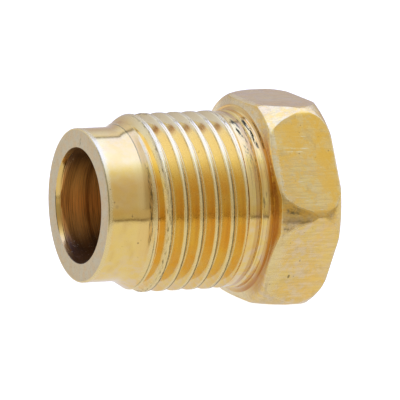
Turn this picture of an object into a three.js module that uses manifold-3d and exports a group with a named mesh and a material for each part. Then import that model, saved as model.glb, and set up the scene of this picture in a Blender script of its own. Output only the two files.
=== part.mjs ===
// Male tube nut of a compression line joint: one turned, thread-rolled and plated steel piece.
// Millimetres. The bore axis is X, the plain nose points to -X, the hexagon is at +X,
// and +Z is up with the hexagon on one of its flats. The origin is the middle of the length.
import * as THREE from 'three';
import { mergeVertices } from 'three/addons/utils/BufferGeometryUtils.js';
import Module from 'manifold-3d';

// ---- driving dimensions, mm -------------------------------------------------------------
const LENGTH = 21.5; // nose face to hexagon end face
const NOSE_D = 13.76; // plain pilot nose
const NOSE_LEN = 3.25; // nose face to the start of the thread's lead chamfer
const NOSE_EDGE = 0.1; // edge break round the nose face
const BORE_D = 9.8; // through bore, passes a 9.525 mm (3/8 in) tube
const BORE_CHAMFER_NOSE = 0.4; // 45 degree entry chamfer at the nose
const BORE_CHAMFER_REAR = 0.6; // and at the hexagon end
const THREAD_D = 15.96; // M16 x 1.5 right-hand, crest inside 6g
const PITCH = 1.5;
const ROOT_D = 14.16; // external minor diameter, d - 1.2269 P
const CREST_LAND = 0.34; // width of the crest land
const CREST_PHASE = 5.11; // a crest crosses the top line (+Z) this far from the nose face
const LEAD_END = 5.18; // end of the lead chamfer, where the crest is full
const GROOVE_FROM = 2.4; // the cutter enters in the air beside the nose
const GROOVE_TO = 13.25; // the groove has run out here
const RUNOUT_TURN = 0.8; // part of a turn over which the groove rises out of the metal
const LAND_FROM = 12.9; // plain land between the thread and the collar
const LAND_D = 15.76;
const CREASE_AT = 14.28; // shallow turned line between the land and the collar
const CREASE_W = 0.14;
const CREASE_DEPTH = 0.1;
const COLLAR_D = 15.98; // short plain collar under the hexagon
const FILLET_FROM = 14.95; // the fillet from the collar into the shoulder
const FILLET_D = 16.9; // where it meets the shoulder
const HEX_FRONT = 15.2; // shoulder of the hexagon, a steep cone out to its corners
const HEX_AF = 18; // width across flats
// turned profile of the hexagon: [distance from the nose face, radius]
const HEX_PROFILE = [
  [HEX_FRONT, FILLET_D / 2],
  [15.62, 9.46],
  [16.35, 9.78],
  [17.35, 10.07],
  [18.9, 10.2],
  [19.4, 10.2],
  [20.1, 10.05],
  [20.95, 9.68],
  [21.35, 9.37],
  [LENGTH, 9.22],
];
const AROUND = 60; // facets in a full turn
const TURN = 2 * Math.PI;
const X0 = -LENGTH / 2; // the nose face

// ---- from three.js geometry to a solid and back -------------------------------------------
const wasm = await Module();
wasm.setup();

function solid(geometry) {
  const g = geometry.clone();
  g.deleteAttribute('normal');
  g.deleteAttribute('uv');
  const merged = mergeVertices(g, 1e-5);
  const source = merged.index.array;
  const tris = [];
  for (let i = 0; i < source.length; i += 3) {
    const [a, b, c] = [source[i], source[i + 1], source[i + 2]];
    if (a !== b && b !== c && c !== a) tris.push(a, b, c);
  }
  return new wasm.Manifold(
    new wasm.Mesh({
      numProp: 3,
      vertProperties: new Float32Array(merged.attributes.position.array),
      triVerts: new Uint32Array(tris),
    }),
  );
}

function geometryOf(manifold) {
  const mesh = manifold.getMesh();
  const g = new THREE.BufferGeometry();
  g.setAttribute('position', new THREE.BufferAttribute(new Float32Array(mesh.vertProperties), 3));
  g.setIndex(new THREE.BufferAttribute(new Uint32Array(mesh.triVerts), 1));
  g.computeVertexNormals();
  return g;
}

// A turned body about X from [distance from the nose face, radius] pairs, closed on the axis.
function turned(profile) {
  const ends = [[profile[0][0], 0], ...profile, [profile[profile.length - 1][0], 0]];
  const points = ends.map(([s, r]) => new THREE.Vector2(r, X0 + s));
  const g = new THREE.LatheGeometry(points, AROUND);
  g.rotateZ(-Math.PI / 2); // the lathe turns about Y, which becomes X
  return solid(g);
}

// The hexagonal bar, with a flat at the top and at the bottom.
function hexBar(from, to) {
  const shape = new THREE.Shape();
  const corner = HEX_AF / 2 / Math.cos(Math.PI / 6);
  for (let k = 0; k < 6; k++) {
    const t = (k * Math.PI) / 3;
    const p = [corner * Math.sin(t), corner * Math.cos(t)];
    if (k === 0) shape.moveTo(...p);
    else shape.lineTo(...p);
  }
  shape.closePath();
  const g = new THREE.ExtrudeGeometry(shape, { depth: to - from, bevelEnabled: false });
  g.rotateY(Math.PI / 2); // the extrusion runs along X, and the corners lie on Y
  g.translate(X0 + from, 0, 0);
  return solid(g);
}

// The thread groove, as the closed body that the rolling dies press out of the blank.
// At an angle t from +Z towards -Y its centre has moved on by PITCH * t / TURN, a right-hand helix.
function threadGroove() {
  const crest = THREAD_D / 2;
  const root = ROOT_D / 2;
  const top = crest + 0.12;
  const slope = Math.tan(Math.PI / 6);
  const halfTop = (PITCH - CREST_LAND) / 2 + (top - crest) * slope;
  const halfRoot = halfTop - (top - root) * slope;
  const step = TURN / AROUND;
  const start = Math.ceil(((GROOVE_FROM - CREST_PHASE) / PITCH) * AROUND);
  const end = Math.round(((GROOVE_TO - CREST_PHASE) / PITCH - 0.5) * AROUND);
  const fade = RUNOUT_TURN * AROUND;
  const pos = [];
  const idx = [];
  for (let i = start; i <= end; i++) {
    const t = i * step;
    const s = X0 + CREST_PHASE + PITCH / 2 + (PITCH * t) / TURN;
    const k = Math.max(0, (i - (end - fade)) / fade);
    const lift = k * k * (top - root);
    const corners = [
      [-halfRoot, root + lift],
      [halfRoot, root + lift],
      [halfTop, top + lift],
      [-halfTop, top + lift],
    ];
    for (const [ds, r] of corners) pos.push(s + ds, -r * Math.sin(t), r * Math.cos(t));
  }
  const rings = end - start + 1;
  for (let i = 0; i + 1 < rings; i++) {
    for (let j = 0; j < 4; j++) {
      const a = i * 4 + j;
      const b = i * 4 + ((j + 1) % 4);
      idx.push(a, b, b + 4, a, b + 4, a + 4);
    }
  }
  const z = (rings - 1) * 4;
  idx.push(0, 2, 1, 0, 3, 2, z, z + 1, z + 2, z, z + 2, z + 3);
  const g = new THREE.BufferGeometry();
  g.setAttribute('position', new THREE.Float32BufferAttribute(pos, 3));
  g.setIndex(idx);
  return solid(g);
}

// ---- the nut ------------------------------------------------------------------------------
function tubeNut() {
  const shank = turned([
    [0, NOSE_D / 2 - NOSE_EDGE],
    [NOSE_EDGE, NOSE_D / 2],
    [NOSE_LEN, NOSE_D / 2],
    [LEAD_END, THREAD_D / 2],
    [LAND_FROM, THREAD_D / 2],
    [LAND_FROM + 0.3, LAND_D / 2],
    [CREASE_AT - CREASE_W, LAND_D / 2],
    [CREASE_AT, LAND_D / 2 - CREASE_DEPTH],
    [CREASE_AT + CREASE_W, COLLAR_D / 2],
    [FILLET_FROM, COLLAR_D / 2],
    [HEX_FRONT - 0.08, COLLAR_D / 2 + 0.15],
    [HEX_FRONT, FILLET_D / 2],
    [HEX_FRONT + 2, FILLET_D / 2],
  ]);
  const hexagon = hexBar(HEX_FRONT - 1, LENGTH + 1).intersect(turned(HEX_PROFILE));
  const over = 1; // the bore tool runs past both ends
  const bore = turned([
    [-over, BORE_D / 2 + BORE_CHAMFER_NOSE + over],
    [BORE_CHAMFER_NOSE, BORE_D / 2],
    [LENGTH - BORE_CHAMFER_REAR, BORE_D / 2],
    [LENGTH + over, BORE_D / 2 + BORE_CHAMFER_REAR + over],
  ]);
  return geometryOf(shank.subtract(threadGroove()).add(hexagon).subtract(bore));
}

const nut = new THREE.Mesh(
  tubeNut(),
  new THREE.MeshStandardMaterial({ color: 0xd9b45a, metalness: 1, roughness: 0.28, flatShading: true }),
);
nut.name = 'tube_nut';

const fitting = new THREE.Group();
fitting.name = 'tube_nut_fitting';
fitting.add(nut);

export default fitting;
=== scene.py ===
"""A yellow-plated male tube nut, M16 x 1.5 with an 18 mm hexagon, lying on a pale floor."""

import math

import bpy
import numpy as np
from mathutils import Matrix, Vector


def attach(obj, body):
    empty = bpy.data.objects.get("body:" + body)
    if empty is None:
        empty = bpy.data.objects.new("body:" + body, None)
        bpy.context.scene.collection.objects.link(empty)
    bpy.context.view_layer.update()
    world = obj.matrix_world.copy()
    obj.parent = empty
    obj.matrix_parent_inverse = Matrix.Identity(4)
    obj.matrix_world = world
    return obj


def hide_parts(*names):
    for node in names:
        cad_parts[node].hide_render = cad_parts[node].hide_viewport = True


MM = 0.001
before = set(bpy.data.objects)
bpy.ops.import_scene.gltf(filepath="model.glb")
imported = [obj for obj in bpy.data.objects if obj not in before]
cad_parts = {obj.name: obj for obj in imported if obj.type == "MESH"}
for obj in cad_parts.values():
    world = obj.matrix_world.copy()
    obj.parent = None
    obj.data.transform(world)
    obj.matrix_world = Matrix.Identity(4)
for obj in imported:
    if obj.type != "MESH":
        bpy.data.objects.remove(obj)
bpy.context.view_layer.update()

# ---------------------------------------------------------------- sizes, mm, s from the nose face
LENGTH = 21.5
X0 = -LENGTH / 2
NOSE_R, NOSE_LEN = 6.88, 3.36
CREST_R, ROOT_R, PITCH = 7.98, 7.08, 1.5
PHASE = 5.15
LEAD_END = 5.11
CREST_HALF = 0.18
LAND_R, LAND_FROM = 7.88, 12.9
GROOVE_END = 13.25
CREASE_AT, COLLAR_R = 14.28, 7.98
FILLET_FROM, FILLET_R = 14.95, 8.45
HEX_FRONT, HEX_H = 15.2, 9.0
TURNED_R = 10.21
BORE_R = 4.9
TAU = 2 * math.pi


def smin(a, b, k):
    h = np.clip(0.5 + 0.5 * (b - a) / k, 0, 1)
    return b * (1 - h) + a * h - k * h * (1 - h)


def smax(a, b, k):
    return -smin(-a, -b, k)


def ramp(x, a, b):
    t = np.clip((x - a) / (b - a), 0, 1)
    return t * t * (3 - 2 * t)


def wobble(x, y, seed):
    """Smooth noise from a few fixed waves, about -1 to 1."""
    rng = np.random.RandomState(seed)
    out = np.zeros(np.broadcast(x, y).shape)
    for _ in range(7):
        fx, fy = rng.uniform(0.6, 2.6, 2)
        p, q = rng.uniform(0, TAU, 2)
        out = out + np.sin(fx * x + p) * np.cos(fy * y + q)
    return out / 3.2


# ---------------------------------------------------------------- the shank, radius at (s, angle)
def thread_offset(s, t):
    """Signed distance along the axis to the nearest crest."""
    u = (s - PHASE) / PITCH - t / TAU
    return (u - np.round(u)) * PITCH


def shank_r(s, t):
    cone = NOSE_R + (s - NOSE_LEN) * (CREST_R - NOSE_R) / (LEAD_END - NOSE_LEN)
    env = smin(smax(NOSE_R + 0 * s, cone, 0.36), CREST_R + 0 * s, 0.06)
    env = env + (LAND_R - CREST_R) * ramp(s, LAND_FROM, LAND_FROM + 0.35)
    env = env + (COLLAR_R - LAND_R) * ramp(s, CREASE_AT + 0.02, CREASE_AT + 0.16)
    env = env - 0.10 * np.exp(-(((s - CREASE_AT) / 0.065) ** 2))
    edge = 0.09  # the nose's outer corner
    env = env - np.where(s < edge, edge - np.sqrt(np.maximum(edge**2 - (edge - s) ** 2, 0)), 0)
    u = thread_offset(s, t)
    a = np.abs(u)
    flank = CREST_R - (a - CREST_HALF) / math.tan(math.radians(30))
    form = smax(smin(flank, CREST_R + 0 * a, 0.07), ROOT_R + 0 * a, 0.10)
    form = form - 0.030 * np.exp(-((u / 0.060) ** 2))
    centre = s - (u - np.where(u < 0, -0.5, 0.5) * PITCH)  # the groove this point is in
    turns = (centre - PHASE - PITCH / 2) / PITCH
    end = (GROOVE_END - PHASE - PITCH / 2) / PITCH
    k = np.clip((turns - (end - 0.8)) / 0.8, 0, 1)
    form = form + 0.95 * k * k
    form = np.where(turns > end, 9.0, form)
    return smin(env, form, 0.02)


def cone_lip(t):
    """Where the partial crest's sharp edge is, as a distance from its own crest line."""
    slope = (CREST_R - NOSE_R) / (LEAD_END - NOSE_LEN)
    steep = 1 / math.tan(math.radians(30))
    crest = PHASE - PITCH + PITCH * t / TAU
    s = (CREST_R + steep * (crest + CREST_HALF) - NOSE_R + slope * NOSE_LEN) / (steep + slope)
    return s - crest


def hex_r(b):
    """The bar's radius at b radians from a flat's middle, with its drawn corner."""
    rc = 1.2
    b = np.abs(b)
    g = math.pi / 6 - b
    c = (HEX_H - rc) / math.cos(math.pi / 6)
    lim = math.atan((HEX_H - rc) * math.tan(math.pi / 6) / HEX_H)
    arc = c * np.cos(g) + np.sqrt(np.maximum(rc * rc - (c * np.sin(g)) ** 2, 0))
    return np.where(b < lim, HEX_H / np.cos(b), arc)


# turned front and rear of the hexagon: radius against s
FRONT_S = np.array([15.62, 16.0, 16.35, 16.65, 17.05, 17.45, 17.95, 18.9])
FRONT_R = np.array([9.46, 9.60, 9.70, 9.79, 9.90, 9.98, 10.06, 10.21])
REAR_S = np.array([19.5, 20.2, 20.65, 21.02, 21.30, 21.40])
REAR_R = np.array([10.21, 10.07, 9.94, 9.74, 9.50, 9.36])
RIM_S, RIM_R = 15.62, 9.46  # the front cone's outer edge at a corner


def smooth_curve(xs, ys, n=400):
    """A monotone cubic through the points."""
    h = np.diff(xs)
    d = np.diff(ys) / h
    m = np.zeros(len(xs))
    m[1:-1] = np.where(d[:-1] * d[1:] > 0, 2 * d[:-1] * d[1:] / (d[:-1] + d[1:]), 0)
    m[0], m[-1] = d[0], d[-1] * 0.2
    X = np.linspace(xs[0], xs[-1], n)
    i = np.clip(np.searchsorted(xs, X, side="right") - 1, 0, len(h) - 1)
    t = (X - xs[i]) / h[i]
    Y = (ys[i] * (2 * t**3 - 3 * t**2 + 1) + h[i] * m[i] * (t**3 - 2 * t**2 + t)
         + ys[i + 1] * (-2 * t**3 + 3 * t**2) + h[i] * m[i + 1] * (t**3 - t**2))
    return X, Y


CURVE_S, CURVE_R = smooth_curve(FRONT_S, FRONT_R)
BACK_S, BACK_R = REAR_S, REAR_R

# ---------------------------------------------------------------- columns
HALF = np.array([0, 2, 4, 6, 8, 10, 12, 14, 16, 18, 20, 21.8, 23.4, 24.8, 26, 27, 27.8, 28.5, 29.05, 29.55, 30])
N = 240
index = np.arange(N)
sector = (index + 20) // 40
j = index - 40 * sector
ANG_EVEN = np.radians(1.5 * index)
ANG_HEX = np.radians(60.0 * sector + np.sign(j) * HALF[np.abs(j)])
B = np.radians(HALF[np.abs(j)])  # angle from the nearest flat's middle
RH = np.minimum(hex_r(B), TURNED_R)


def bend(p0, p1, p2, cut, n):
    """A rounded corner at p1: n+1 points, per column. Points are (2, N)."""
    l0 = np.hypot(*(p1 - p0))
    l2 = np.hypot(*(p2 - p1))
    c = np.minimum(cut, 0.45 * np.minimum(l0, l2))
    a = p1 + (p0 - p1) / l0 * c
    b = p1 + (p2 - p1) / l2 * c
    t = np.linspace(0, 1, n + 1)
    return [(1 - x) ** 2 * a + 2 * x * (1 - x) * p1 + x * x * b for x in t]


def pt(s, r):
    return np.stack([np.broadcast_to(s, (N,)).astype(float), np.broadcast_to(r, (N,)).astype(float)])


rows = []   # each: (s[N], r[N], angle[N], wear and painted highlight[N], zone, dirt and painted shade[N], tint, painted shade and reflection[N], painted highlight[N], warm gold[N])


def add(p, ang, wear_and_highlight, zone, dirt_and_shade=0.0, tint_and_shade=0.0, light=0.0, glow_y=0.0):
    wear_and_highlight, dirt_and_shade, tint_and_shade, light, glow_y = (np.broadcast_to(v, (N,)).astype(float) for v in (wear_and_highlight, dirt_and_shade, tint_and_shade, light, glow_y))
    rows.append((p[0], p[1], ang, wear_and_highlight, zone, dirt_and_shade, tint_and_shade, light, glow_y))


def line(x, at, half):
    """A soft line of that half width."""
    return np.exp(-(((x - at) / half) ** 2))


def span(x, a, b, soft):
    return ramp(x, a - soft, a + soft) * (1 - ramp(x, b - soft, b + soft))


# shank rows, evenly spaced columns
levels = np.concatenate([
    [0.0, 0.012, 0.03, 0.055, 0.09, 0.16, 0.3, 0.5, 0.8, 1.2, 1.6, 2.0, 2.4, 2.7, 2.9],
    np.arange(3.0, 13.42, 0.046),
])
td = 1.5 * index  # degrees from the top towards the front
off_top = np.minimum(td, 360 - td)
fade = ramp(off_top, 15, 38)
front_top = span(td, -20, 52, 14) + span(td, 345, 380, 14)
for s in levels:
    S = np.full(N, s)
    r = shank_r(S, ANG_EVEN)
    u = thread_offset(S, ANG_EVEN)
    past = s - PHASE - PITCH * ANG_EVEN / TAU  # from the first crest
    full = ramp(s, 4.7, 5.3) * (1 - ramp(s, 13.0, 13.25))
    land = 0.85 * fade * ramp(u, -0.20 + 0.06 * (1 - ramp(td, 50, 80)), -0.14 + 0.06 * (1 - ramp(td, 50, 80))) * (1 - ramp(u, 0.04 + 0.05 * (1 - ramp(td, 50, 80)), 0.08 + 0.05 * (1 - ramp(td, 50, 80))))
    # rear flank: worn, and made brighter towards the top as a painted highlight
    rear = (0.46 + 0.50 * (1 - ramp(td, 50, 75))) * span(u, 0.20, 0.60, 0.02)
    root = 1.0 * np.maximum(ramp(u, 0.56, 0.66), 1 - ramp(u, -0.69, -0.61))
    # dark bands along each crest's edges: painted shade of the crest's form
    crest_edge_shade = (0.84 - 0.22 * np.exp(-((past / 0.5) ** 2))) * span(u, 0.050, 0.200, 0.025) * (0.22 + 0.78 * ramp(td, 44, 72)) * fade + (0.25 + 0.25 * fade * (1 - ramp(td, 55, 75))) * line(u, -0.24, 0.05)
    # a darker smear near a flank's root at the top front: painted shade
    root_shade = span(td, 15, 23, 4) * span(u, -0.66, -0.36, 0.10) * (s > 5.0) * full
    crest_edge_shade = crest_edge_shade + 0.34 * root_shade
    first = np.exp(-(((past + 0.10) / 0.30) ** 4)) * ramp(s, 4.6, 4.9)  # the rough first crest
    lip_at = cone_lip(ANG_EVEN)
    near = (s > 3.3) * (s < 5.1) * (past < -0.7)
    lip = span(u, lip_at - 0.20, lip_at + 0.05, 0.03) * near * ramp(td, 18, 36)
    ledge = 0.6 * near * span(s, 4.02, 4.6, 0.04) * (u < lip_at) * span(td, 58, 150, 14)
    rim = 0.95 * (1 - ramp(s, 0.12, 0.50 + 0.35 * (0.5 + 0.5 * np.cos(ANG_EVEN - 0.6))))
    grains = ramp(wobble(td * 0.42, s * 21.0, 21) + 0.7 * wobble(td * 1.6, s * 34.0, 22), -0.3, 0.8)
    cone_dirt = (0.20 + 0.85 * grains) * near * span(s, 3.80, 4.10, 0.05) * span(td, 50, 112, 12)
    cone_dirt = cone_dirt + 0.12 * near * span(s, 3.66, 4.15, 0.05) * front_top
    cone_dirt = cone_dirt + 0.75 * near * line(u, lip_at - 0.17, 0.05) * span(td, 100, 160, 12)
    thin = 0.85 * line(s, 3.62, 0.05) * front_top + 0.45 * line(u, -0.22, 0.04) * first * (1 - ramp(off_top, 18, 34))
    edge_line = 0.75 * line(s, 0.05, 0.07) * span(td, 25, 100, 15)
    worn_and_highlit_parts = np.maximum(np.maximum(land, rear), root) * full
    wear_and_highlight = np.maximum(np.maximum(worn_and_highlit_parts, rim), np.maximum(0.95 * first, np.maximum(lip, ledge)))
    dirt_and_shade = np.maximum(np.maximum(crest_edge_shade * full, cone_dirt), np.maximum(thin, edge_line))
    rasp = wobble(td * 0.5, s * 17.0, 31) + 0.5 * wobble(td * 1.7, s * 31.0, 33)
    dirt_and_shade = dirt_and_shade + first * (0.12 + 0.42 * ramp(rasp, 0.15, 0.75))
    wear_and_highlight = wear_and_highlight - 0.35 * first * ramp(rasp, -0.2, 0.4)
    tint_and_shade = span(s, 3.32, 13.2, 0.06) * 0.03 + 0.75 * root_shade + 0.08 * full * span(u, -0.45, -0.20, 0.08)
    # a brown line on the front flanks: painted reflection of the next turn
    tint_and_shade = tint_and_shade + 0.20 * full * line(u, -0.36, 0.10) * span(td, 76, 108, 10)
    tint_and_shade = tint_and_shade + near * (0.32 * line(s, 3.95, 0.18) * span(td, 50, 112, 12) + 0.22 * span(s, 3.66, 4.2, 0.05) * front_top)
    on_thread = ramp(s, 4.2, 5.2) * (1 - ramp(s, 13.0, 13.3))
    # the thread is painted paler at its top, and warm gold just below it on the front: painted highlight
    light = on_thread * (0.55 * (1 - fade) + 0.45 * fade * (1 - ramp(td, 48, 66)))
    warmth = fade * (1 - ramp(td, 48, 66))
    tint_and_shade = tint_and_shade + 0.16 * ramp(wobble(td * 0.16, s * 2.3, 71), -0.1, 0.8) * span(td, 93, 146, 7) * (1 - ramp(s, 2.6, 3.3)) * ramp(s, 0.4, 0.9)
    amber = span(s, 2.90, 3.80, 0.14) * (past < -0.7) * span(td, 42, 118, 12)
    add(pt(S, r), ANG_EVEN, wear_and_highlight, 0, dirt_and_shade, tint_and_shade + 0.16 * amber + 0.07 * span(s, 0.5, 2.8, 0.2) * span(td, 58, 100, 8) * ramp(wobble(td * 0.3, s * 2.6, 61), 0.0, 0.9), light * (1 - warmth), light * warmth + 0.5 * amber)
# the plain land: columns move over to the hexagon's spacing
for s in np.concatenate([np.linspace(13.46, 14.06, 9), np.arange(14.10, 14.50, 0.035), np.arange(14.53, 14.92, 0.055)]):
    w = ramp(s, 13.44, 14.06)
    ang = ANG_EVEN * (1 - w) + ANG_HEX * w
    S = np.full(N, s)
    # the brown line where the fillet starts, at 14.95 mm, is painted shade
    tint_and_shade = 0.45 * span(s, 13.80, 14.24, 0.05) + 0.25 * line(s, 14.52, 0.05) + 0.35 * line(s, 14.95, 0.06)
    deg_at = np.degrees(ang) % 360
    torn = wobble(deg_at * 0.35, s * 11.0, 5) + 0.6 * wobble(deg_at * 1.1, s * 23.0, 9)
    drift = 14.52 + 0.006 * (deg_at - 20)
    patch = 1.9 * span(s, drift - 0.10, drift + 0.16, 0.05) * span(deg_at, 17, 44, 5) * ramp(torn, -0.35, 0.2)
    patch = patch + 1.7 * span(s, 13.30, 13.72, 0.08) * span(deg_at, 18, 31, 4) * ramp(torn, -0.1, 0.4)
    patch = patch + 0.6 * span(s, 13.5, 14.9, 0.1) * span(deg_at, 14, 60, 8) * ramp(torn, 0.35, 0.8)
    patch = patch + 0.8 * span(s, 14.45, 14.8, 0.05) * span(deg_at, 74, 92, 5) * ramp(torn, 0.2, 0.6)
    # the dark lines in the crease and at 14.88 mm, just before the fillet, are painted shade
    dirt_and_shade = patch + 0.55 * line(s, CREASE_AT, 0.05) + 0.40 * line(s, 14.50, 0.035) * span(deg_at, 50, 330, 8) + 0.5 * line(s, 14.88, 0.03)
    veil = ramp(wobble(deg_at * 0.10, s * 34.0, 41), -0.3, 0.9)
    dirt_and_shade = dirt_and_shade + span(s, 13.40, 14.22, 0.06) * (0.24 + 0.30 * veil) * (1 - ramp(deg_at, 60, 110) * 0.5) + 0.16 * veil * span(s, 14.4, 14.95, 0.06)
    add(pt(S, shank_r(S, ang)), ang, 0.25 * span(s, 13.3, 13.7, 0.1), 0, dirt_and_shade, tint_and_shade)
# the fillet under the shoulder, browned and darkened towards the hexagon as painted shade
for q in (0.0, 0.3, 0.55, 0.75, 0.9, 1.0):
    ds = (HEX_FRONT - 0.02 - FILLET_FROM) * q
    r = COLLAR_R + (FILLET_R - COLLAR_R) * (1 - math.sqrt(1 - (q * 0.985) ** 2)) / (1 - math.sqrt(1 - 0.985**2))
    add(pt(FILLET_FROM + ds, r), ANG_HEX, 0.0, 1, 0.15 * q, (0.3 + 0.5 * q) * (0.35 + 0.65 * span(np.degrees(ANG_HEX) % 360, 34, 166, 16)))

# the hexagon, column by column
deg = np.degrees(B)
mid_flat = 1 - ramp(deg, 14, 24)
corner = ramp(deg, 25, 27.5)
r_rim = smin(np.full(N, RIM_R), RH - 0.12, 0.05)
s_rim = HEX_FRONT + (RIM_S - HEX_FRONT) * (r_rim - FILLET_R) / (RIM_R - FILLET_R)
sf = smax(np.interp(RH, CURVE_R, CURVE_S), np.full(N, 15.88), 0.25)
sr = np.interp(-RH, -BACK_R[::1], BACK_S)
sr = np.minimum(sr, 21.36)
re = np.minimum(RH - 0.07, 9.25)
A0 = pt(HEX_FRONT + 0.01, FILLET_R + 0.02)
A1 = pt(s_rim, r_rim)
chamfer = []
wide = ramp(RH, 9.35, 9.75)
for q in np.linspace(0, 1, 11):
    s = s_rim + (sf - s_rim) * q
    on_curve = np.minimum(np.interp(s, CURVE_S, CURVE_R), RH)
    bulge = r_rim + (RH - r_rim) * (1 - (1 - q) ** 2.2)
    chamfer.append(pt(s, bulge * (1 - wide) + on_curve * wide))
chamfer[-1] = pt(sf, RH)
tail = []
for q in np.linspace(0, 1, 9):
    s = sr + (LENGTH - 0.06 - sr) * q
    on_curve = np.minimum(np.interp(s, BACK_S, BACK_R), RH)
    bulge = RH + (re + 0.03 - RH) * q**1.6
    tail.append(pt(s, bulge * (1 - wide) + on_curve * wide))
tail[0] = pt(sr, RH)
A2, A3 = chamfer[-1], tail[0]
A4 = pt(LENGTH, re)
A5 = pt(LENGTH, BORE_R + 0.6)
A6 = pt(LENGTH - 0.6, BORE_R)
# the mouth's chamfer is cut off centre: short on one side, a long taper on the others
FLARE = 0.28
NEAR_SIDE = (0.5 + 0.5 * np.cos(ANG_EVEN - math.radians(266))) ** 4.5
TAPER_END = 0.4 + 1.3 * (1 - NEAR_SIDE)


def flare(s):
    return FLARE * np.clip(1 - s / TAPER_END, 0, 1)


A7 = pt(0.4, BORE_R + flare(0.4))
A8 = pt(0.0, BORE_R + FLARE)
A9 = pt(0.0, NOSE_R - 0.09)

H = ANG_HEX
turn_deg = np.degrees(ANG_HEX) % 360
around_shade = 0.06 + 0.94 * span(turn_deg, 40, 152, 12)
# the hexagon's front face is browned and darkened by around_shade, painted shade, and painted lighter outside turns
# 40–152° as a painted highlight
for q in (0.0, 0.25, 0.5):
    add(A0 + (A1 - A0) * q, H, 0.0, 2, 0.16 * around_shade, 0.95 * around_shade * (1 - 0.30 * ramp(turn_deg, 105, 140)), 0.45 * (1 - around_shade))
for k, p in enumerate(bend(A0 * 0.4 + A1 * 0.6, A1, chamfer[1], 0.07, 4)):
    add(p, H, (0.0, 0.3, 0.7, 0.8, 0.8)[k] * (0.35 + 0.65 * mid_flat), 2)
blots = ramp(wobble(turn_deg * 0.55, turn_deg * 0.23, 51), -0.4, 0.7)
# darker, blotched bands on the chamfer at turns 76–103° and 128–178°
chamfer_darkening = (0.30 + 0.26 * blots) * span(turn_deg, 76, 103, 5) + 0.34 * span(turn_deg, 128, 178, 8)
for k, p in enumerate(chamfer[2:-2]):
    flecks = ramp(wobble(turn_deg * 0.9, k * 1.9, 53), 0.25, 0.8) * span(turn_deg, 77, 101, 4)
    add(p, H, 0.85 * mid_flat * (1 - 0.4 * span(turn_deg, 128, 178, 8)), 2, chamfer_darkening + 0.45 * flecks, 0.25 * span(turn_deg, 78, 102, 5) * blots)
arc = bend(chamfer[-2], A2, A2 * 0.85 + A3 * 0.15, 0.10, 4)
for k, p in enumerate(arc):
    rim_line = 0.85 * (k in (2, 3)) * (span(turn_deg, 66, 88, 4) + 0.7 * span(turn_deg, 91, 102, 3))
    add(p, H, (0.7, 0.8, 0.85, 0.8, 0.6)[k] * (1 - 0.9 * corner), 2, rim_line)
far = bend(A2 * 0.15 + A3 * 0.85, A3, tail[1], 0.10, 4)
for q, w in ((0.03, 0.35), (0.07, 0.1), (0.16, 0), (0.3, 0), (0.45, 0), (0.6, 0), (0.75, 0), (0.9, 0), (0.96, 0.1)):
    upper = span(turn_deg, 31, 58, 6) * (1 - 0.3 * (q < 0.1))
    edge = ramp(q, 0.55, 0.92) * span(turn_deg, 36, 88, 5)
    lower = ramp(q, 0.50, 0.85) * span(turn_deg, 93, 150, 6) * 0.6
    grey = (1 - ramp(q, 0.05, 0.42)) * span(turn_deg, 96, 146, 8) * 0.42
    rich = np.clip(0.34 * upper + 0.42 * edge + 0.30 * lower, 0, 0.5)
    add(arc[-1] + (far[0] - arc[-1]) * q, H, w * (1 - corner) + grey, 2, 0.0, 0.05 * upper, 0.0, rich)
for k, p in enumerate(far):
    add(p, H, 0.6 * (1 - 0.9 * corner), 2)
for p in tail[2:-1]:
    add(p, H, 0.35 * mid_flat, 2)
for k, p in enumerate(bend(tail[-2], A4, A5, 0.10, 4)):
    add(p, H, 0.8, 2)
for q in (0.10, 0.3, 0.6, 0.9):
    add(A4 + (A5 - A4) * q, H, 0.35, 2)
for p in bend(A4, A5, A6, 0.06, 3):
    add(p, H, 0.7, 3)
add(A5 * 0.5 + A6 * 0.5, H, 0.2, 3)
for p in bend(A5, A6, A7, 0.08, 3):
    add(p, H, 0.2, 3)
# the bore's bands along its length go into the tint: painted reflection bands
BAND_S = [0.4, 0.9, 1.35, 1.55, 1.9, 2.4, 2.65, 2.9, 3.1, 3.25, 3.6, 4.2, 5.0, 8.0, 21.0]
BAND_V = [0.42, 0.50, 0.48, 0.72, 0.95, 0.85, 0.50, 0.15, 0.0, 0.40, 0.60, 0.58, 0.6, 0.5, 0.5]
for s in np.concatenate([np.arange(20.6, 6.0, -0.8), np.arange(5.9, 0.5, -0.18)]):
    w = ramp(s, 3.0, 16.0)
    ang = ANG_EVEN * (1 - w) + ANG_HEX * w
    ripple = 0.012 * math.sin(s * 2.1) + 0.010 * math.sin(s * 4.7 + 1)
    add(pt(s, BORE_R + ripple + flare(s)), ang, 0, 4, 0, np.interp(s, BAND_S, BAND_V))
E = ANG_EVEN
for p in bend(A6, A7, A8, 0.05, 3):
    add(p, E, 0.0, 4, 0.0, 0.42)
add(A7 * 0.6 + A8 * 0.4, E, 0.05, 5, 0.0, 0.42 - 0.3 * NEAR_SIDE)
for k, p in enumerate(bend(A7, A8, A9, 0.05, 3)):
    # a dark line on the mouth's rim, on the far side: painted shadow line
    dark_edge = 1.5 * (k in (1, 2)) * span(td, 232, 274, 5) + 0.9 * (k == 2) * (1 - NEAR_SIDE) * span(td, 140, 232, 8)
    add(p, E, 0.3 * (k > 0), 5 if k < 2 else 3, dark_edge, 0.42 - 0.3 * NEAR_SIDE if k < 2 else 0.1)
for q in (0.08, 0.2, 0.35, 0.5, 0.65, 0.8, 0.9, 0.96):
    tick = 0.8 * (index == 0) * (0.15 < q < 0.6)
    add(A8 + (A9 - A8) * q, E, 0.75, 3, tick + 0.5 * (q > 0.93) * span(td, 30, 95, 12))

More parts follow.
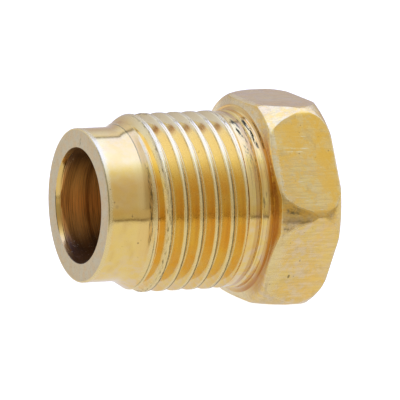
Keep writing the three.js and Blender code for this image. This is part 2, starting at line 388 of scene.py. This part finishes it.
# ---------------------------------------------------------------- mesh
S = np.array([r[0] for r in rows])
R = np.array([r[1] for r in rows])
T = np.array([r[2] for r in rows])
W = np.array([r[3] for r in rows])
M = len(rows)
V = np.stack([X0 + S, -R * np.sin(T), R * np.cos(T)], -1)
ii, jj = np.meshgrid(np.arange(M), np.arange(N), indexing="ij")
a = ii * N + jj
b = ii * N + (jj + 1) % N
c = ((ii + 1) % M) * N + (jj + 1) % N
d = ((ii + 1) % M) * N + jj
quads = np.stack([a, b, c, d], -1).reshape(-1, 4)
P = V.reshape(-1, 3)
cross = np.cross(P[quads[:, 2]] - P[quads[:, 0]], P[quads[:, 3]] - P[quads[:, 1]])
mid = P[quads].mean(1)
if (mid * cross).sum() < 0:
    quads = quads[:, ::-1]
    cross = -cross
normal = np.zeros_like(P)
for k in range(4):
    np.add.at(normal, quads[:, k], cross)
# the shank's normals come from its own equation
n_shank = sum(1 for r in rows if r[4] == 0)
e = 0.012
Ss, Ts, Rs = S[:n_shank], T[:n_shank], R[:n_shank]
dr_ds = (shank_r(Ss + e, Ts) - shank_r(np.maximum(Ss - e, 0), Ts)) / (Ss + e - np.maximum(Ss - e, 0))
dr_dt = (shank_r(Ss, Ts + 0.01) - shank_r(Ss, Ts - 0.01)) / 0.02
rad = np.stack([0 * Ts, -np.sin(Ts), np.cos(Ts)], -1)
tan = np.stack([0 * Ts, -np.cos(Ts), -np.sin(Ts)], -1)
exact = rad - dr_ds[..., None] * np.array([1.0, 0, 0]) - (dr_dt / Rs)[..., None] * tan
normal = normal.reshape(M, N, 3)
normal[5:n_shank - 1] = exact[5:n_shank - 1]
normal = normal.reshape(-1, 3)
normal /= np.linalg.norm(normal, axis=1)[:, None]

mesh = bpy.data.meshes.new("tube_nut_body")
mesh.vertices.add(len(P))
mesh.vertices.foreach_set("co", (P * MM).astype(np.float32).ravel())
mesh.loops.add(quads.size)
mesh.loops.foreach_set("vertex_index", quads.astype(np.int32).ravel())
mesh.polygons.add(len(quads))
mesh.polygons.foreach_set("loop_start", np.arange(0, quads.size, 4, dtype=np.int32))
mesh.polygons.foreach_set("loop_total", np.full(len(quads), 4, np.int32))
mesh.update(calc_edges=True)
mesh.validate()
mesh.polygons.foreach_set("use_smooth", np.ones(len(quads), bool))
mesh.normals_split_custom_set_from_vertices([tuple(v) for v in normal])
wear_and_highlight_attr = mesh.attributes.new("wear_and_highlight", "FLOAT", "POINT")
wear_and_highlight_attr.data.foreach_set("value", W.astype(np.float32).ravel())
tint_and_shade_attr = mesh.attributes.new("tint_and_shade", "FLOAT", "POINT")
tint_and_shade_attr.data.foreach_set("value", np.array([r[6] for r in rows]).astype(np.float32).ravel())
for label, place in (("light", 7), ("golden", 8)):
    extra = mesh.attributes.new(label, "FLOAT", "POINT")
    extra.data.foreach_set("value", np.array([r[place] for r in rows]).astype(np.float32).ravel())
# pale: the shank's and fillet's underside is painted paler, a painted reflection of the floor; the hexagon is paler on
# all turns but 30–90°, less on the chamfer at 14–40°, and more from 92° to 268°
turn_all = np.degrees(T) % 360
paler_hex_turns = 1 - span(turn_all, 30, 90, 3)
chamfered = np.array([1.0 if r[4] == 2 and r[0].max() < 19.2 and (r[0].max() - r[0].min()) > 0.05 else 0.0 for r in rows])[:, None]
paler_hex_turns = paler_hex_turns * (1 - 0.9 * chamfered * span(turn_all, 14, 40, 6))
under = 1.3 * span(turn_all, 128, 235, 24) * np.array([1.0 if r[4] < 2 else 0.0 for r in rows])[:, None]
under = under + 1.3 * span(turn_all, 92, 240, 14) * np.array([1.0 if r[4] < 2 and r[0][0] > 13.3 else 0.0 for r in rows])[:, None]
paler_hex_turns = paler_hex_turns + 0.5 * span(turn_all, 92, 268, 4)
pale = mesh.attributes.new("pale", "FLOAT", "POINT")
pale.data.foreach_set("value", (under + paler_hex_turns * np.array([1.0 if r[4] == 2 else 0.0 for r in rows])[:, None]).astype(np.float32).ravel())
dirt_and_shade_attr = mesh.attributes.new("dirt_and_shade", "FLOAT", "POINT")
dirt_and_shade_attr.data.foreach_set("value", np.array([r[5] for r in rows]).astype(np.float32).ravel())
face = np.array([1.0 if (r[4] == 3 and r[0][0] < 1.0) else 0.0 for r in rows])[:, None] * np.ones(N)
dull = mesh.attributes.new("dull", "FLOAT", "POINT")
dull.data.foreach_set("value", face.astype(np.float32).ravel())
hexes = np.array([1.0 if r[4] == 2 else 0.0 for r in rows])[:, None] * np.ones(N)
on_hex = mesh.attributes.new("hexagon", "FLOAT", "POINT")
on_hex.data.foreach_set("value", hexes.astype(np.float32).ravel())
# the mouth chamfer's far side takes the bore's dark colour: painted shade
dark_side = 1 - ramp(NEAR_SIDE, 0.10, 0.55)
bore_and_shade_rows = np.array([np.ones(N) if r[4] == 4 and r[0][0] > 0.46 else (dark_side if r[4] in (4, 5) else np.zeros(N)) for r in rows])
bore_and_shade = mesh.attributes.new("bore_and_shade", "FLOAT", "POINT")
bore_and_shade.data.foreach_set("value", bore_and_shade_rows.astype(np.float32).ravel())
nut = bpy.data.objects.new("tube_nut_body", mesh)
bpy.context.scene.collection.objects.link(nut)
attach(nut, "root")
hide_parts("tube_nut")


# ---------------------------------------------------------------- materials
class Net:
    """Short calls for a node tree."""

    def __init__(self, tree):
        self.tree = tree
        tree.nodes.clear()

    def node(self, kind, **props):
        n = self.tree.nodes.new(kind)
        for k, v in props.items():
            setattr(n, k, v)
        return n

    def put(self, socket, value):
        if isinstance(value, bpy.types.NodeSocket):
            self.tree.links.new(value, socket)
        elif value is not None:
            socket.default_value = value

    def math(self, op, a, b=None, c=None, clamp=False):
        n = self.node("ShaderNodeMath", operation=op, use_clamp=clamp)
        for s, v in zip(n.inputs, (a, b, c)):
            self.put(s, v)
        return n.outputs[0]

    def noise(self, vector, scale, detail=3.0, rough=0.55, distortion=0.0):
        n = self.node("ShaderNodeTexNoise")
        self.put(n.inputs["Vector"], vector)
        for k, v in (("Scale", scale), ("Detail", detail), ("Roughness", rough), ("Distortion", distortion)):
            self.put(n.inputs[k], v)
        return n.outputs["Fac"]

    def range(self, x, a, b, lo=0.0, hi=1.0, smooth=True):
        n = self.node("ShaderNodeMapRange", interpolation_type="SMOOTHSTEP" if smooth else "LINEAR")
        for s, v in zip(n.inputs[:5], (x, a, b, lo, hi)):
            self.put(s, v)
        return n.outputs[0]

    def mix(self, fac, a, b, blend="MIX"):
        n = self.node("ShaderNodeMix", data_type="RGBA", blend_type=blend)
        self.put(n.inputs["Factor"], fac)
        ins = [s for s in n.inputs if s.type == "RGBA"]
        for s, v in zip(ins, (a, b)):
            self.put(s, (*v, 1.0) if isinstance(v, tuple) and len(v) == 3 else v)
        return [s for s in n.outputs if s.type == "RGBA"][0]

    def combine(self, x, y, z):
        n = self.node("ShaderNodeCombineXYZ")
        for s, v in zip(n.inputs, (x, y, z)):
            self.put(s, v)
        return n.outputs[0]


YELLOW = (0.94, 0.68, 0.20)
AMBER = (0.92, 0.60, 0.155)
PINK = (0.88, 0.68, 0.39)
SILVER = (0.90, 0.71, 0.31)
FACE = (0.68, 0.52, 0.28)
FACE_GREY = (0.66, 0.57, 0.37)
BROWN_AND_SHADE = (0.52, 0.20, 0.035)
SOIL_AND_SHADE = (0.17, 0.13, 0.05)
# bore colours: painted reflection bands between HOLE_DARK and HOLE_PALE, and HOLE_DEEP further in
HOLE_DARK = (0.33, 0.110, 0.013)
HOLE_PALE = (1.00, 0.465, 0.090)
HOLE_DEEP = (0.86, 0.50, 0.120)


def plated():
    m = bpy.data.materials.new("yellow_plated_steel")
    m.use_nodes = True
    n = Net(m.node_tree)
    out = n.node("ShaderNodeOutputMaterial")
    bsdf = n.node("ShaderNodeBsdfPrincipled")
    n.put(out.inputs["Surface"], bsdf.outputs[0])
    where = n.node("ShaderNodeTexCoord").outputs["Object"]
    scaled = n.node("ShaderNodeVectorMath", operation="SCALE")
    n.put(scaled.inputs[0], where)
    scaled.inputs["Scale"].default_value = 1000.0
    mm = scaled.outputs[0]
    xyz = n.node("ShaderNodeSeparateXYZ")
    n.put(xyz.inputs[0], mm)
    x, y, z = xyz.outputs
    wear_and_highlight = n.node("ShaderNodeAttribute", attribute_name="wear_and_highlight").outputs["Fac"]
    bore_and_shade_fac = n.node("ShaderNodeAttribute", attribute_name="bore_and_shade").outputs["Fac"]
    ang = n.math("ARCTAN2", y, z)
    sweep = n.combine(n.math("MULTIPLY", x, 9.0), n.math("MULTIPLY", n.math("SINE", ang), 1.2), n.math("MULTIPLY", n.math("COSINE", ang), 1.2))

    dirt_and_shade_attr = n.node("ShaderNodeAttribute", attribute_name="dirt_and_shade").outputs["Fac"]
    dull = n.node("ShaderNodeAttribute", attribute_name="dull").outputs["Fac"]
    hexa = n.node("ShaderNodeAttribute", attribute_name="hexagon").outputs["Fac"]
    drawn = n.combine(n.math("MULTIPLY", x, 0.5), n.math("MULTIPLY", y, 6.0), n.math("MULTIPLY", z, 6.0))

    patch = n.noise(mm, 0.30, 2.0)
    blotch = n.noise(mm, 1.3, 4.0, 0.6)
    speck = n.noise(mm, 7.0, 3.0, 0.6)
    fine = n.noise(mm, 18.0, 2.0)
    turn = n.noise(sweep, 1.0, 3.0, 0.6)
    streak = n.noise(drawn, 1.0, 3.0, 0.65)

    col = n.mix(n.range(patch, 0.38, 0.62), AMBER, YELLOW)
    pale = n.node("ShaderNodeAttribute", attribute_name="pale").outputs["Fac"]
    tint_and_shade = n.node("ShaderNodeAttribute", attribute_name="tint_and_shade").outputs["Fac"]
    # pale mottles towards pink and silver: on the underside, a painted reflection of the floor
    mottle = n.math("ADD", n.math("ADD", 0.16, n.math("MULTIPLY", hexa, 0.05)), n.math("MULTIPLY", pale, 0.5))
    col = n.mix(n.math("MULTIPLY", n.range(blotch, 0.40, 0.66), mottle), col, PINK)
    col = n.mix(n.math("MULTIPLY", n.range(speck, 0.45, 0.70), n.math("MULTIPLY", mottle, 0.6)), col, SILVER)
    # painted highlight: paler gold where light is set; warm gold where golden is set, which on the thread is painted
    # highlight too
    col = n.mix(n.math("MULTIPLY", n.node("ShaderNodeAttribute", attribute_name="light").outputs["Fac"], 1.7, clamp=True), col, (0.93, 0.79, 0.42))
    golden = n.node("ShaderNodeAttribute", attribute_name="golden").outputs["Fac"]
    col = n.mix(n.math("MULTIPLY", golden, 1.8, clamp=True), col, (1.00, 0.735, 0.25))
    grit = n.math("ADD", n.math("MULTIPLY", speck, 0.6), n.math("MULTIPLY", blotch, 0.4))
    # bare metal where worn, including the rear flank's painted highlight at the top
    bare_and_highlight = n.math("ADD", wear_and_highlight, n.math("MULTIPLY", n.math("SUBTRACT", grit, 0.5), 1.1))
    bare_and_highlight = n.range(bare_and_highlight, 0.22, 0.88, 0.0, 0.95)
    # the tint attribute browns the colour: real tint, plus painted shade in the fillet and on the hexagon's front, a
    # painted reflection line on the flanks, and the bore's painted reflection bands
    col = n.mix(n.math("MULTIPLY", tint_and_shade, n.range(turn, 0.25, 0.75, 0.75, 1.15)), col, BROWN_AND_SHADE)
    col = n.mix(bare_and_highlight, col, SILVER)
    # bore: painted reflection bands from the tint, with turning rings and pits, paler further in, darkened towards its
    # top and bottom as painted shade, and pale flecks
    rings = n.range(n.noise(n.combine(x, 0.0, 0.0), 7.0, 3.0, 0.7), 0.3, 0.7, -0.30, 0.30)
    pitted = n.range(n.noise(sweep, 1.6, 3.0, 0.6), 0.3, 0.7, -0.35, 0.35)
    deep = n.mix(n.range(n.math("ADD", n.math("ADD", tint_and_shade, rings), pitted), 0.0, 1.0, smooth=False), HOLE_DARK, HOLE_PALE)
    fleck = n.math("MULTIPLY", n.range(n.noise(mm, 9.0, 2.0), 0.67, 0.73), n.range(n.math("ABSOLUTE", z), 2.4, 3.6))
    deep = n.mix(n.range(x, -6.6, -6.0), deep, HOLE_DEEP)
    shade = n.math("MAXIMUM", n.range(z, 0.9, 4.1), n.range(z, -2.2, -4.5))
    deep = n.mix(n.math("MULTIPLY", shade, 0.94), deep, (0.030, 0.012, 0.004))
    deep = n.mix(fleck, deep, (0.75, 0.62, 0.38))
    col = n.mix(n.math("MULTIPLY", bore_and_shade_fac, 0.97), col, deep)
    face = n.mix(n.range(blotch, 0.38, 0.62), FACE, FACE_GREY)
    face = n.mix(n.range(speck, 0.50, 0.75, 0.0, 0.35), face, (0.30, 0.24, 0.16))
    col = n.mix(n.math("MULTIPLY", dull, 0.9), col, face)
    col = n.mix(n.math("MULTIPLY", n.range(streak, 0.40, 0.62), n.math("MULTIPLY", hexa, 0.24)), col, (0.55, 0.36, 0.13))
    # the dirt attribute darkens the colour: real dirt, torn plating and marks, plus painted shade at crest edges, the
    # crease, the fillet and the mouth's rim
    dirt_and_shade_amount = n.math("ADD", dirt_and_shade_attr, n.math("MULTIPLY", n.math("SUBTRACT", speck, 0.5), n.math("MULTIPLY", dirt_and_shade_attr, 1.6)))
    col = n.mix(n.range(dirt_and_shade_amount, 0.15, 0.95, 0.0, 0.88), col, SOIL_AND_SHADE)
    col = n.mix(n.range(dirt_and_shade_amount, 1.05, 1.6, 0.0, 0.94), col, (0.040, 0.034, 0.003))
    corner_dust = n.math("MULTIPLY", n.range(speck, 0.55, 0.70), n.math("MULTIPLY", hexa, 0.22))
    col = n.mix(corner_dust, col, (0.60, 0.50, 0.33))
    for centre, size, depth in (((-10.18, -6.72, 1.49), 0.10, 0.55), ((-9.95, -6.80, 1.10), 0.22, 0.16), ((-7.69, -6.49, -2.30), 0.12, 0.60)):
        apart = n.node("ShaderNodeVectorMath", operation="DISTANCE")
        n.put(apart.inputs[0], mm)
        apart.inputs[1].default_value = centre
        col = n.mix(n.range(apart.outputs["Value"], size, size * 0.4, 0.0, depth), col, (0.20, 0.13, 0.06))
    scratch = n.noise(n.combine(n.math("MULTIPLY", x, 0.9), n.math("MULTIPLY", y, 11.0), n.math("MULTIPLY", z, 11.0)), 1.0, 2.0, 0.6)
    col = n.mix(n.math("MULTIPLY", n.range(scratch, 0.66, 0.74), n.math("MULTIPLY", hexa, 0.7)), col, (0.95, 0.82, 0.50))
    for z0, x0, x1, slope in ((6.66, 6.9, 8.1, -0.034), (5.70, 5.9, 8.3, -0.038), (5.42, 5.9, 7.6, -0.038)):
        off = n.math("ABSOLUTE", n.math("SUBTRACT", z, n.math("ADD", z0, n.math("MULTIPLY", n.math("SUBTRACT", x, 7.0), slope))))
        mark = n.math("MULTIPLY", n.range(off, 0.065, 0.015), n.math("MULTIPLY", n.range(x, x0 - 0.2, x0 + 0.2), n.range(x, x1 + 0.2, x1 - 0.2)))
        mark = n.math("MULTIPLY", mark, n.math("MULTIPLY", hexa, n.range(y, -0.5, -1.0)))
        col = n.mix(n.math("MULTIPLY", mark, n.range(speck, 0.35, 0.55, 0.55, 1.0)), col, (1.0, 0.92, 0.48))
    away = n.math("ADD", n.math("POWER", n.math("SUBTRACT", x, 6.85), 2.0), n.math("POWER", n.math("DIVIDE", n.math("ADD", z, 5.92), 1.6), 2.0))
    nick = n.math("MULTIPLY", n.range(away, 0.02, 0.004), n.math("MULTIPLY", hexa, n.range(y, -0.5, -1.0)))
    col = n.mix(n.math("MULTIPLY", nick, 0.75), col, SOIL_AND_SHADE)
    warm = n.math("MULTIPLY", n.range(n.noise(mm, 1.1, 5.0, 0.75), 0.47, 0.60), n.math("SUBTRACT", hexa, n.math("MULTIPLY", pale, 0.65)))
    warm = n.math("ADD", warm, n.math("MULTIPLY", hexa, n.math("MULTIPLY", golden, 1.5)), clamp=True)
    broad = n.range(n.noise(mm, 0.55, 4.0, 0.65), 0.42, 0.60)
    col = n.mix(n.math("MULTIPLY", warm, 0.62), col, (0.97, 0.57, 0.09))
    col = n.mix(n.math("MULTIPLY", n.math("MULTIPLY", broad, n.math("MULTIPLY", hexa, golden)), 1.5, clamp=True), col, (1.0, 0.56, 0.06))
    cloud = n.noise(mm, 0.85, 4.0, 0.7)
    col = n.mix(n.math("MULTIPLY", n.range(cloud, 0.52, 0.70), n.math("MULTIPLY", hexa, 0.35)), col, (0.62, 0.42, 0.14))
    pit = n.math("MULTIPLY", n.range(n.noise(mm, 3.1, 2.0), 0.715, 0.76), 0.6)
    col = n.mix(pit, col, SOIL_AND_SHADE)
    n.put(bsdf.inputs["Base Color"], col)
    n.put(bsdf.inputs["Metallic"], n.math("SUBTRACT", 1.0, n.math("MULTIPLY", bore_and_shade_fac, 0.45)))
    rough = n.math("ADD", n.range(speck, 0.3, 0.7, 0.10, 0.18), n.math("MULTIPLY", bare_and_highlight, 0.16))
    rough = n.math("ADD", rough, n.math("MULTIPLY", n.math("MAXIMUM", dull, n.math("MULTIPLY", hexa, 0.5)), 0.14))
    rough = n.math("ADD", rough, n.math("MULTIPLY", bore_and_shade_fac, 0.20))
    rough = n.math("ADD", rough, n.range(dirt_and_shade_amount, 0.9, 1.5, 0.0, 0.30))
    n.put(bsdf.inputs["Roughness"], rough)
    bump = n.node("ShaderNodeBump")
    bump.inputs["Strength"].default_value = 0.10
    bump.inputs["Distance"].default_value = 0.00002
    height = n.math("ADD", n.math("MULTIPLY", turn, 0.4), n.math("ADD", n.math("MULTIPLY", speck, 0.35), n.math("MULTIPLY", fine, 0.2)))
    height = n.math("ADD", height, n.math("MULTIPLY", n.math("MULTIPLY", streak, hexa), 1.1))
    n.put(bump.inputs["Height"], height)
    n.put(bsdf.inputs["Normal"], bump.outputs[0])
    return m


nut.data.materials.append(plated())


def glow(name, color, strength=1.0, diffuse=None):
    m = bpy.data.materials.new(name)
    m.use_nodes = True
    n = Net(m.node_tree)
    out = n.node("ShaderNodeOutputMaterial")
    emit = n.node("ShaderNodeEmission")
    emit.inputs["Color"].default_value = (*color, 1)
    emit.inputs["Strength"].default_value = strength
    if diffuse is None:
        n.put(out.inputs["Surface"], emit.outputs[0])
    else:
        d = n.node("ShaderNodeBsdfDiffuse")
        d.inputs["Color"].default_value = (diffuse, diffuse, diffuse, 1)
        s = n.node("ShaderNodeAddShader")
        n.put(s.inputs[0], emit.outputs[0])
        n.put(s.inputs[1], d.outputs[0])
        n.put(out.inputs["Surface"], s.outputs[0])
    return m


def sheet(name, corners, material):
    me = bpy.data.meshes.new(name)
    me.from_pydata([Vector(p) * MM for p in corners], [], [(0, 1, 2, 3)])
    o = bpy.data.objects.new(name, me)
    bpy.context.scene.collection.objects.link(o)
    me.materials.append(material)
    return o


# ---------------------------------------------------------------- floor, reflector cards, light
FLOOR_Z = -HEX_H - 0.02
F = 4000.0
floor = sheet("floor", [(-F, -F, FLOOR_Z), (F, -F, FLOOR_Z), (F, F, FLOOR_Z), (-F, F, FLOOR_Z)],
              glow("pale_floor", (1.0, 1.0, 1.0), 1.0, 0.30))
floor.visible_glossy = False
G = 600.0
table_top = sheet("floor_reflection", [(-G, -G, FLOOR_Z), (G, -G, FLOOR_Z), (G, G, FLOOR_Z), (-G, G, FLOOR_Z)],
                  glow("pale_floor_reflection", (0.82, 0.84, 1.22), 0.24, 0.42))
table_top.visible_camera = False
table_top.visible_diffuse = False
table_top.visible_shadow = False
for name, x0, x1, y, z0, z1, color in (
    ("front_card", -240, 240, -38, -6.75, 1.0, (0.50, 0.46, 0.42)),
    ("front_card_foot", -240, 240, -38, FLOOR_Z, -6.75, (0.16, 0.13, 0.10)),
):
    card = sheet(name, [(x0, y, z0), (x1, y, z0), (x1, y, z1), (x0, y, z1)], glow(name, color, 1.0))
    card.visible_camera = False
    card.visible_diffuse = False
    card.visible_shadow = False

world = bpy.data.worlds.new("studio")
bpy.context.scene.world = world
world.use_nodes = True
n = Net(world.node_tree)
wo = n.node("ShaderNodeOutputWorld")
bg = n.node("ShaderNodeBackground")
n.put(wo.inputs[0], bg.outputs[0])
way = n.node("ShaderNodeTexCoord").outputs["Generated"]
sep = n.node("ShaderNodeSeparateXYZ")
n.put(sep.inputs[0], way)
wx, wy, wz = sep.outputs
around = n.math("ARCTAN2", n.math("MULTIPLY", wy, -1.0), wz)  # from straight up towards the front
pos = n.math("ADD", n.math("DIVIDE", around, TAU), 0.5)
TOP = 4.0
STOPS = [  # angle, light
    (-100, (0.53, 0.53, 0.66)), (-68, (0.55, 0.54, 0.68)), (-58, (0.66, 0.72, 1.05)), (-44, (0.86, 0.95, 1.45)),
    (-41.5, (0.22, 0.22, 0.25)), (-38.5, (0.22, 0.22, 0.25)), (-37, (1.05, 1.34, 3.2)), (-10, (1.10, 1.42, 3.5)),
    (14, (1.10, 1.40, 3.3)), (23, (1.00, 1.23, 2.1)), (32, (0.79, 0.90, 1.20)), (42, (0.65, 0.69, 0.95)), (52, (0.575, 0.567, 0.66)),
    (66, (0.53, 0.53, 0.62)), (84, (0.52, 0.52, 0.60)), (92, (0.50, 0.47, 0.45)), (100, (0.50, 0.46, 0.42)),
]
cr = n.node("ShaderNodeValToRGB")
cr.color_ramp.interpolation = "LINEAR"
el = cr.color_ramp.elements
while len(el) > 1:
    el.remove(el[-1])
first = True
for ang, col in STOPS:
    q = ang / 360.0 + 0.5
    if first:
        p = el[0]
        p.position = q
        first = False
    else:
        p = el.new(q)
    p.color = (*(min(1, v / TOP) for v in col), 1)
n.put(cr.inputs[0], pos)
side = n.math("SQRT", n.math("ADD", n.math("MULTIPLY", wy, wy), n.math("MULTIPLY", wz, wz)))
sky = n.mix(n.range(side, 0.12, 0.45), (0.62 / TOP, 0.62 / TOP, 0.62 / TOP), cr.outputs[0])
dim = n.mix(n.range(around, math.radians(-50), math.radians(-41)), (1.18, 1.24, 1.30), (0.78, 0.72, 0.60))
sky = n.mix(n.range(wx, -0.45, -0.18), n.mix(1.0, sky, dim, "MULTIPLY"), sky)
toward = n.node("ShaderNodeVectorMath", operation="DOT_PRODUCT")
n.put(toward.inputs[0], way)
toward.inputs[1].default_value = (-0.52, -0.84, 0.12)
sky = n.mix(n.range(toward.outputs["Value"], 0.86, 0.97, 0.0, 0.12), sky, (0.10 / TOP, 0.085 / TOP, 0.07 / TOP))
low = n.mix(n.range(wz, -0.004, 0.0), (1.06 / TOP, 1.06 / TOP, 1.06 / TOP), sky)
n.put(bg.inputs["Color"], low)
bg.inputs["Strength"].default_value = TOP

# ---------------------------------------------------------------- camera
AZ, EL, ROLL, DIST = -24.327, 10.569, 2.018, 620.95
CX, CY, PXMM = 190.8, 199.642, 11.185
cam_data = bpy.data.cameras.new("camera")
cam = bpy.data.objects.new("camera", cam_data)
bpy.context.scene.collection.objects.link(cam)
bpy.context.scene.camera = cam
ra, re_, rr = math.radians(AZ), math.radians(EL), math.radians(ROLL)
back = Vector((math.sin(ra) * math.cos(re_), -math.cos(ra) * math.cos(re_), math.sin(re_)))
right = Vector((math.cos(ra), math.sin(ra), 0))
up = back.cross(right)
right2 = math.cos(rr) * right + math.sin(rr) * up
up2 = -math.sin(rr) * right + math.cos(rr) * up
target = Vector((0.25, 0, 0))
eye = target + back * DIST
aim = target + right2 * ((199.5 - CX) / PXMM) - up2 * ((199.5 - CY) / PXMM)
bk = (eye - aim).normalized()
rt = (right2 - bk * right2.dot(bk)).normalized()
upv = bk.cross(rt)
mat = Matrix((rt, upv, bk)).transposed().to_4x4()
mat.translation = eye * MM
cam.matrix_world = mat
cam_data.sensor_width = 36.0
cam_data.lens = 36.0 * PXMM * DIST / 400.0
cam_data.clip_start = 0.01
cam_data.clip_end = 20.0

scene = bpy.context.scene
scene.view_settings.view_transform = "Standard"
scene.view_settings.look = "None"
scene.view_settings.exposure = 0.0
scene.view_settings.gamma = 1.0
